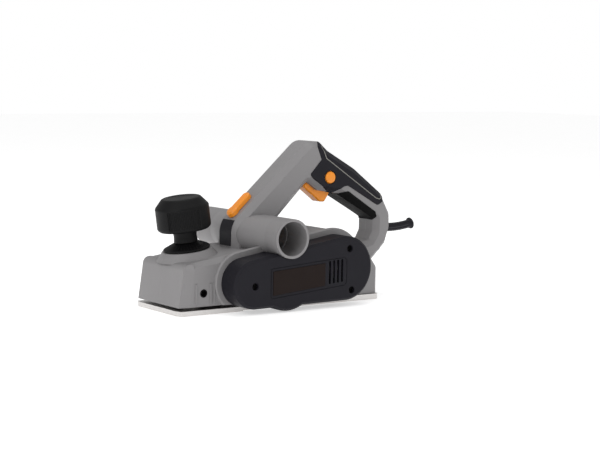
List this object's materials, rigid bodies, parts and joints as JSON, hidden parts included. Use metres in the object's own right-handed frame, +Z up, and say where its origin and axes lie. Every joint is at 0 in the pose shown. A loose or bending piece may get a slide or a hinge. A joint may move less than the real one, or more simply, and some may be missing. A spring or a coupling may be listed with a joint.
{
  "type": "electric hand planer",
  "caption": "Hand-held electric planer with a flat sole split by a spinning cutter drum, a front depth knob, a belt cover, side chip outlets and a closed rear handle.",
  "frame": {"origin": "middle of the sole's length and width, on the rear sole's working face near its front lip", "axes": "+X towards the rear, where the cord leaves; +Z up; -Y towards the belt cover"},
  "size_m": [0.3317, 0.159, 0.1695],
  "materials": {
    "housing_grey": "fine moulded texture",
    "sole_aluminium": "machined",
    "cover_black": "fine moulded texture",
    "screw_steel": "blackened",
    "screw_black": "blackened",
    "label_brown": "printed foil, blank",
    "insert_brass": "turned",
    "panel_charcoal": "fine moulded texture",
    "inlay_grey": "smooth",
    "grip_rubber": "soft grip",
    "guard_rubber": "satin",
    "switch_black": "moulded",
    "core_steel": "stacked laminations",
    "winding_copper": "varnished copper wire",
    "brush_carbon": "carbon",
    "bearing_steel": "ground",
    "belt_rubber": "ribbed",
    "knob_black": "moulded, ribbed patches",
    "drum_aluminium": "turned",
    "blade_steel": "ground edge",
    "pulley_metal": "turned",
    "control_orange": "satin"
  },
  "bodies": {
    "housing": {"left_housing": "housing_grey", "right_housing": "housing_grey", "rear_base": "sole_aluminium", "base_screws": "screw_steel", "belt_cover": "cover_black", "belt_cover_screws": "screw_black", "label_plate": "label_brown", "housing_screws": "screw_steel", "fence_inserts": "screw_black", "left_grip_panel": "panel_charcoal", "right_grip_panel": "panel_charcoal", "left_panel_inlay": "inlay_grey", "right_panel_inlay": "inlay_grey", "under_grip": "grip_rubber", "cord_guard": "guard_rubber", "cord_clamp": "housing_grey", "cord_clamp_screws": "screw_steel", "switch_body": "switch_black", "field_core": "core_steel", "field_windings": "winding_copper", "brush_holders": "insert_brass", "carbon_brushes": "brush_carbon", "motor_bearings": "bearing_steel", "drum_bearings": "bearing_steel", "depth_spring": "screw_steel", "drive_belt": "belt_rubber", "duct_panel": "cover_black"},
    "shoe": {"front_shoe": "sole_aluminium", "depth_nut": "insert_brass"},
    "knob": {"depth_knob": "knob_black", "depth_dial": "knob_black", "depth_screw": "bearing_steel"},
    "drum": {"cutter_drum": "drum_aluminium", "drum_blades": "blade_steel", "blade_clamps": "drum_aluminium", "blade_screws": "screw_steel", "drum_shaft": "bearing_steel", "drum_pulley": "pulley_metal", "drum_pulley_nut": "screw_steel"},
    "armature": {"armature_shaft": "bearing_steel", "armature_core": "core_steel", "armature_windings": "winding_copper", "commutator": "insert_brass", "cooling_fan": "switch_black", "motor_pulley": "pulley_metal", "motor_pulley_nut": "screw_steel"},
    "trigger": {"switch_trigger": "control_orange"},
    "lock_button": {"lock_on_button": "control_orange"},
    "selector": {"chip_selector": "control_orange"}
  },
  "joints": [
    {"name": "depth_turn", "type": "hinge", "parent": "housing", "child": "knob", "pos_m": [-0.0904, 0, 0.0616], "axis": [0.1426, 0, -0.9898], "range_deg": [0, 360]},
    {"name": "shoe_lift", "type": "slide", "parent": "housing", "child": "shoe", "axis": [-0.1426, 0, 0.9898], "range_m": [0, 0.0025]},
    {"name": "drum_spin", "type": "hinge", "parent": "housing", "child": "drum", "pos_m": [-0.015, 0, 0.0236], "axis": [0, 1, 0], "continuous": true},
    {"name": "motor_spin", "type": "hinge", "parent": "housing", "child": "armature", "pos_m": [0.0615, 0, 0.04], "axis": [0, 1, 0], "continuous": true},
    {"name": "trigger_squeeze", "type": "slide", "parent": "housing", "child": "trigger", "axis": [0.65, 0, 0.76], "range_m": [0, 0.0045], "stiffness_N_per_m": 400, "springref_m": -0.002},
    {"name": "lock_press", "type": "slide", "parent": "housing", "child": "lock_button", "axis": [0, 1, 0], "range_m": [0, 0.003], "stiffness_N_per_m": 400, "springref_m": -0.001},
    {"name": "selector_swing", "type": "hinge", "parent": "housing", "child": "selector", "pos_m": [-0.0254, 0, 0.10262], "axis": [-0.6663, 0, 0.7457], "range_deg": [-20, 20]}
  ],
  "couplings": [
    {"joint": "depth_turn", "follows": "shoe_lift", "rad_per_m": 2513.3},
    {"joint": "motor_spin", "follows": "drum_spin", "ratio": 1.5238}
  ]
}
